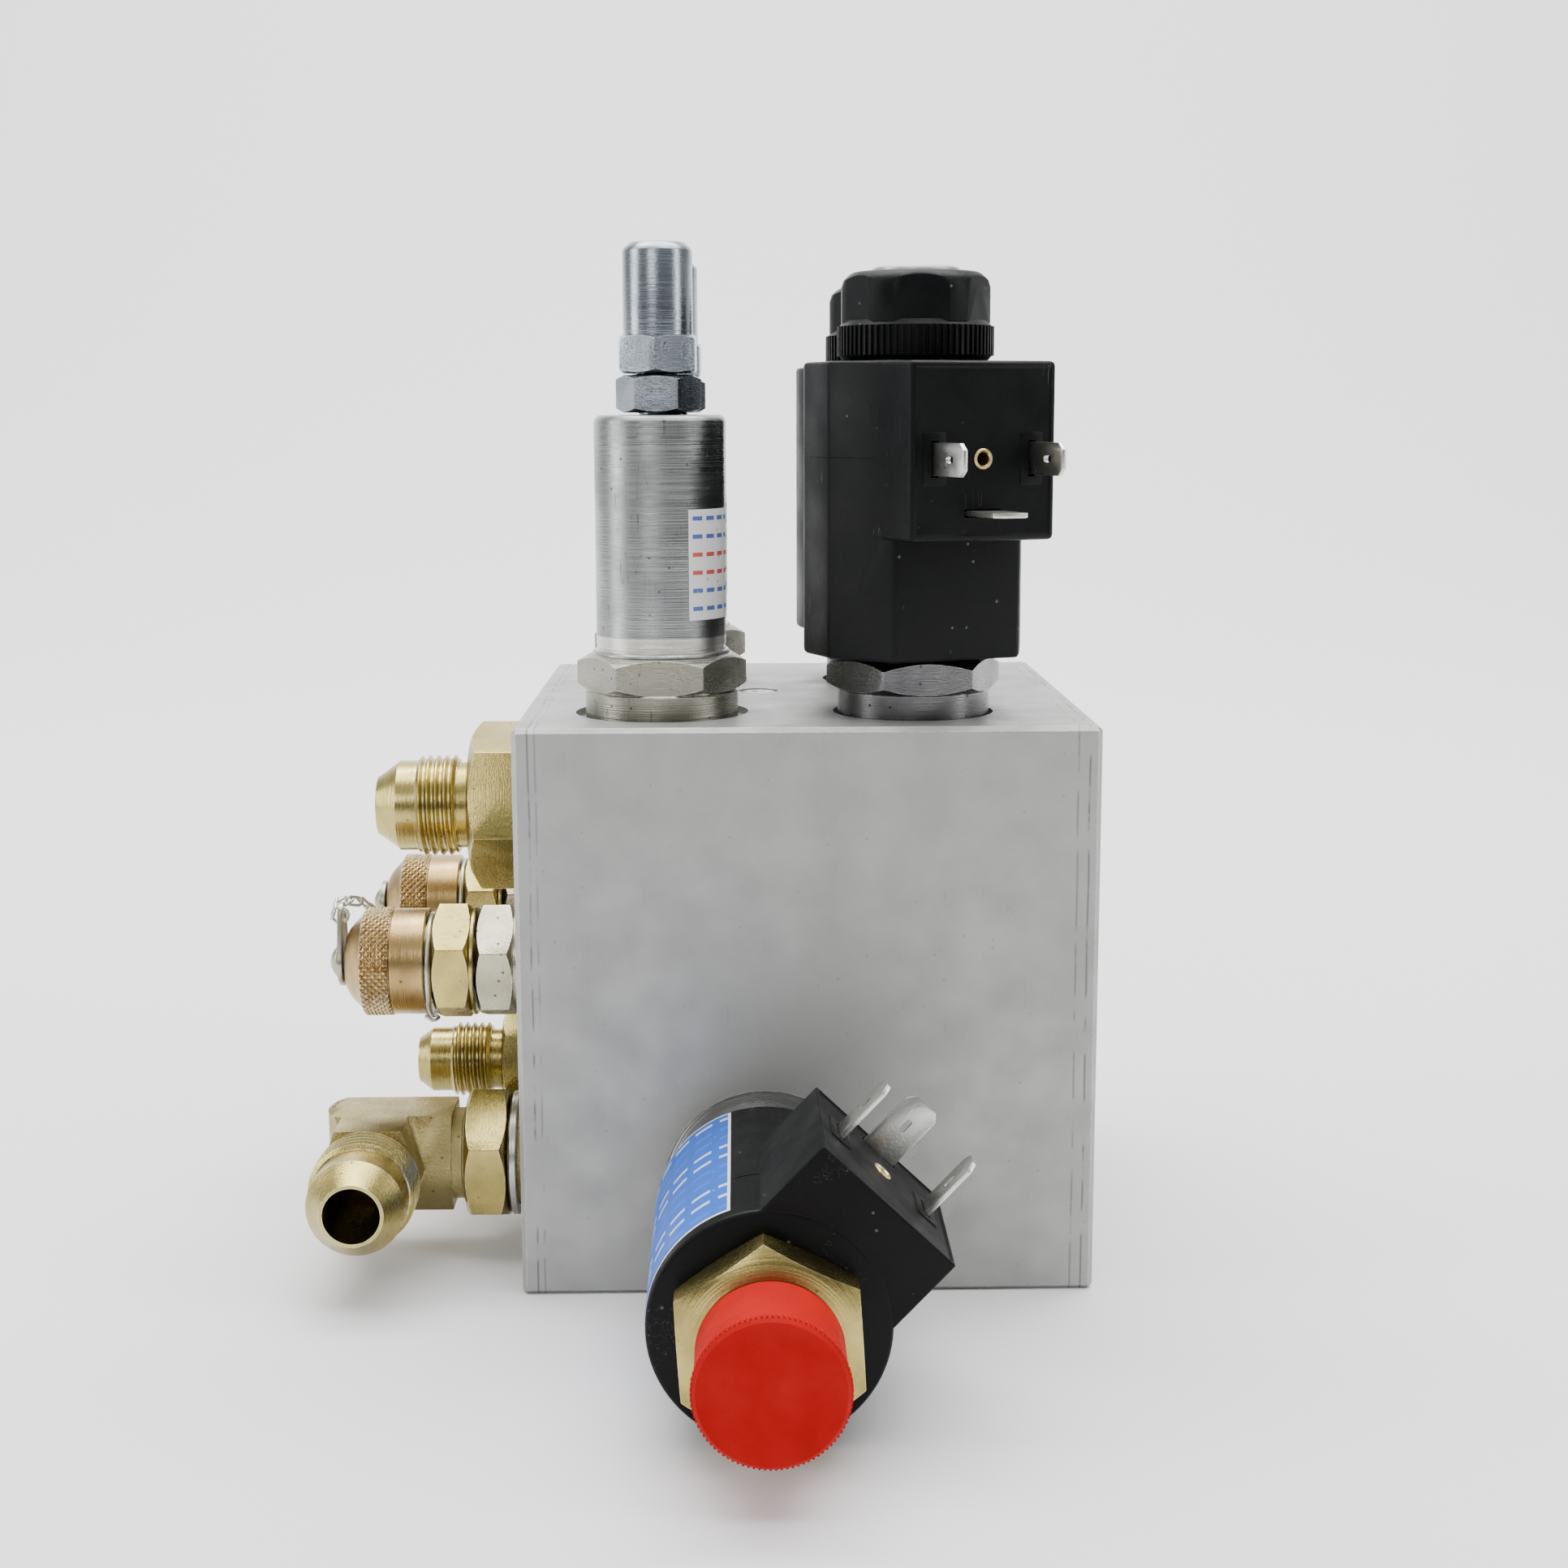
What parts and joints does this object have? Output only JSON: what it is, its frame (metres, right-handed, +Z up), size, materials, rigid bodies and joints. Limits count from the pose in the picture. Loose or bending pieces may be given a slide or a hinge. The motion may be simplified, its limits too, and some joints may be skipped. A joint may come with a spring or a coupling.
{
  "type": "hydraulic solenoid valve manifold",
  "caption": "Cubic hydraulic valve block with solenoid cartridge valves, pressure relief cartridges, flare hose fittings and capped test points.",
  "frame": {"origin": "centre of the valve block's flat bottom face", "axes": "+Z up along the upright cartridges, +X to the right face, +Y to the rear face; the lower solenoid points along -Y and the hose fittings along -X"},
  "size_m": [0.1375, 0.1924, 0.1813],
  "materials": {
    "block_aluminium": "fine milled, lightly scratched",
    "barrel_zinc": "turned, grey zinc plated",
    "turned_steel": "turned",
    "spring_steel": "drawn wire",
    "blue_zinc": "blue zinc plated",
    "pale_zinc": "pale zinc plated",
    "dark_zinc": "dark zinc plated, oiled",
    "yellow_zinc": "yellow chromate zinc plated",
    "cap_brass": "turned and knurled",
    "brass": "turned",
    "tinned_contact": "tinned",
    "black_plastic": "satin moulded",
    "red_plastic": "soft moulded, low sheen"
  },
  "bodies": {
    "root": {"manifold_block": "block_aluminium", "top_gallery_plug": "turned_steel", "side_gallery_plug_1": "turned_steel", "side_gallery_plug_2": "turned_steel", "pressure_port_fitting": "yellow_zinc", "drain_port_fitting": "yellow_zinc", "elbow_lock_nut": "yellow_zinc", "elbow_seal_washer": "yellow_zinc", "coil_nut_lower": "yellow_zinc", "relief_body_front": "barrel_zinc", "relief_spring_front": "spring_steel", "relief_lock_nut_front": "blue_zinc", "coil_nut_front": "black_plastic", "test_adapter_front": "pale_zinc", "test_coupling_front": "yellow_zinc", "relief_body_rear": "barrel_zinc", "relief_spring_rear": "spring_steel", "relief_lock_nut_rear": "blue_zinc", "coil_nut_rear": "black_plastic", "test_adapter_rear": "pale_zinc", "test_coupling_rear": "yellow_zinc", "solenoid_body_front": "dark_zinc", "armature_tube_front": "turned_steel", "return_spring_front": "spring_steel", "solenoid_body_rear": "dark_zinc", "armature_tube_rear": "turned_steel", "return_spring_rear": "spring_steel", "solenoid_body_lower": "dark_zinc", "armature_tube_lower": "turned_steel", "return_spring_lower": "spring_steel"},
    "relief_seat_front": {"relief_spring_seat_front": "turned_steel"},
    "relief_screw_front": {"relief_adjust_screw_front": "blue_zinc"},
    "relief_poppet_front": {"relief_poppet_front": "turned_steel"},
    "relief_cap_front": {"relief_cap_nut_front": "blue_zinc"},
    "relief_seat_rear": {"relief_spring_seat_rear": "turned_steel"},
    "relief_screw_rear": {"relief_adjust_screw_rear": "blue_zinc"},
    "relief_poppet_rear": {"relief_poppet_rear": "turned_steel"},
    "relief_cap_rear": {"relief_cap_nut_rear": "blue_zinc"},
    "spool_set_front": {"armature_front": "turned_steel", "spool_front": "turned_steel"},
    "override_front": {"override_pin_front": "brass"},
    "coil_set_front": {"coil_front": "black_plastic", "coil_terminals_front": "tinned_contact"},
    "spool_set_rear": {"armature_rear": "turned_steel", "spool_rear": "turned_steel"},
    "override_rear": {"override_pin_rear": "brass"},
    "coil_set_rear": {"coil_rear": "black_plastic", "coil_terminals_rear": "tinned_contact"},
    "spool_set_lower": {"armature_lower": "turned_steel", "spool_lower": "turned_steel"},
    "coil_set_lower": {"coil_lower": "black_plastic", "coil_terminals_lower": "tinned_contact"},
    "protective_cap": {"protective_cap": "red_plastic"},
    "test_tab_front": {"test_cap_tab_front": "pale_zinc", "test_cap_chain_front": "pale_zinc"},
    "test_cap_front": {"test_cap_front": "cap_brass"},
    "test_tab_rear": {"test_cap_tab_rear": "pale_zinc", "test_cap_chain_rear": "pale_zinc"},
    "test_cap_rear": {"test_cap_rear": "cap_brass"},
    "elbow": {"elbow_fitting": "yellow_zinc"}
  },
  "joints": [
    {"name": "relief_seat_slide_front", "type": "slide", "parent": "root", "child": "relief_seat_front", "axis": [0, 0, 1], "range_m": [-0.0025, 0.0025], "deforming": ["relief_spring_front"]},
    {"name": "relief_screw_turn_front", "type": "hinge", "parent": "relief_seat_front", "child": "relief_screw_front", "pos_m": [-0.0252, -0.0275, 0.15], "axis": [0, 0, 1], "range_deg": [-721, 721]},
    {"name": "relief_poppet_lift_front", "type": "slide", "parent": "root", "child": "relief_poppet_front", "axis": [0, 0, 1], "range_m": [0, 0.002], "stiffness_N_per_m": 13000, "springref_m": -0.003, "deforming": ["relief_spring_front"]},
    {"name": "relief_cap_lift_front", "type": "slide", "parent": "root", "child": "relief_cap_front", "axis": [0, 0, 1], "range_m": [0, 0.022]},
    {"name": "relief_seat_slide_rear", "type": "slide", "parent": "root", "child": "relief_seat_rear", "axis": [0, 0, 1], "range_m": [-0.0025, 0.0025], "deforming": ["relief_spring_rear"]},
    {"name": "relief_screw_turn_rear", "type": "hinge", "parent": "relief_seat_rear", "child": "relief_screw_rear", "pos_m": [-0.0252, 0.0225, 0.15], "axis": [0, 0, 1], "range_deg": [-721, 721]},
    {"name": "relief_poppet_lift_rear", "type": "slide", "parent": "root", "child": "relief_poppet_rear", "axis": [0, 0, 1], "range_m": [0, 0.002], "stiffness_N_per_m": 13000, "springref_m": -0.003, "deforming": ["relief_spring_rear"]},
    {"name": "relief_cap_lift_rear", "type": "slide", "parent": "root", "child": "relief_cap_rear", "axis": [0, 0, 1], "range_m": [0, 0.022]},
    {"name": "spool_slide_front", "type": "slide", "parent": "root", "child": "spool_set_front", "axis": [0, 0, -1], "range_m": [0, 0.0025], "stiffness_N_per_m": 1200, "springref_m": -0.003, "deforming": ["return_spring_front"]},
    {"name": "override_push_front", "type": "slide", "parent": "root", "child": "override_front", "axis": [0, 0, -1], "range_m": [0, 0.0025]},
    {"name": "coil_swivel_front", "type": "hinge", "parent": "root", "child": "coil_set_front", "pos_m": [0.0194, -0.0282, 0.135], "axis": [0, 0, 1], "range_deg": [-60, 60]},
    {"name": "spool_slide_rear", "type": "slide", "parent": "root", "child": "spool_set_rear", "axis": [0, 0, -1], "range_m": [0, 0.0025], "stiffness_N_per_m": 1200, "springref_m": -0.003, "deforming": ["return_spring_rear"]},
    {"name": "override_push_rear", "type": "slide", "parent": "root", "child": "override_rear", "axis": [0, 0, -1], "range_m": [0, 0.0025]},
    {"name": "coil_swivel_rear", "type": "hinge", "parent": "root", "child": "coil_set_rear", "pos_m": [0.0194, 0.0218, 0.135], "axis": [0, 0, 1], "range_deg": [-60, 60]},
    {"name": "spool_slide_lower", "type": "slide", "parent": "root", "child": "spool_set_lower", "axis": [0, 1, 0], "range_m": [0, 0.0025], "stiffness_N_per_m": 1200, "springref_m": -0.003, "deforming": ["return_spring_lower"]},
    {"name": "coil_swivel_lower", "type": "hinge", "parent": "root", "child": "coil_set_lower", "pos_m": [-0.0076, -0.085, 0.019], "axis": [0, -1, 0], "range_deg": [-40, 130]},
    {"name": "protective_cap_pull", "type": "slide", "parent": "root", "child": "protective_cap", "axis": [0, -1, 0], "range_m": [0, 0.016]},
    {"name": "test_cap_travel_front", "type": "slide", "parent": "root", "child": "test_tab_front", "axis": [-1, 0, 0], "range_m": [0, 0.008]},
    {"name": "test_cap_turn_front", "type": "hinge", "parent": "test_tab_front", "child": "test_cap_front", "pos_m": [-0.075, -0.025, 0.0541], "axis": [-1, 0, 0], "range_deg": [0, 1441]},
    {"name": "test_cap_travel_rear", "type": "slide", "parent": "root", "child": "test_tab_rear", "axis": [-1, 0, 0], "range_m": [0, 0.008]},
    {"name": "test_cap_turn_rear", "type": "hinge", "parent": "test_tab_rear", "child": "test_cap_rear", "pos_m": [-0.075, 0.025, 0.0541], "axis": [-1, 0, 0], "range_deg": [0, 1441]},
    {"name": "elbow_swivel", "type": "hinge", "parent": "root", "child": "elbow", "pos_m": [-0.06, -0.025, 0.0177], "axis": [-1, 0, 0], "range_deg": [-10, 50]}
  ],
  "couplings": [
    {"joint": "relief_screw_turn_front", "follows": "relief_seat_slide_front", "rad_per_m": 5026.5},
    {"joint": "relief_screw_turn_rear", "follows": "relief_seat_slide_rear", "rad_per_m": 5026.5},
    {"joint": "override_push_front", "follows": "spool_slide_front", "ratio": 1},
    {"joint": "override_push_rear", "follows": "spool_slide_rear", "ratio": 1},
    {"joint": "test_cap_turn_front", "follows": "test_cap_travel_front", "rad_per_m": 3141.6},
    {"joint": "test_cap_turn_rear", "follows": "test_cap_travel_rear", "rad_per_m": 3141.6}
  ]
}
